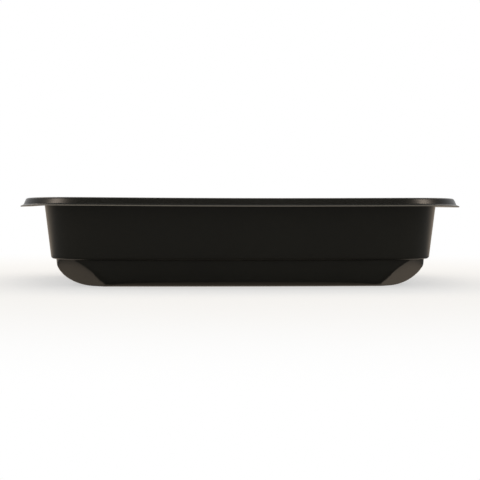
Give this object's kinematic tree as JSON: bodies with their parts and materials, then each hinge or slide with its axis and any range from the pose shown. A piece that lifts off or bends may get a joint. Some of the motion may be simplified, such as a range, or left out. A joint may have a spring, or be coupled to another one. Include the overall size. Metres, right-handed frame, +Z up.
{
  "type": "heat-sealable food tray",
  "caption": "Shallow black one-piece food tray with drafted walls, a ledge, corner facets and a flat sealing rim with a turned-down skirt.",
  "frame": {"origin": "middle of the underside, on the surface that the tray stands on", "axes": "+X along the long sides, +Y along the short sides, +Z up out of the open mouth"},
  "size_m": [0.227, 0.178, 0.0454],
  "materials": {
    "black_plastic": "black polypropylene sheet, thermoformed, satin"
  },
  "bodies": {
    "root": {"food_tray": "black_plastic"}
  },
  "joints": []
}
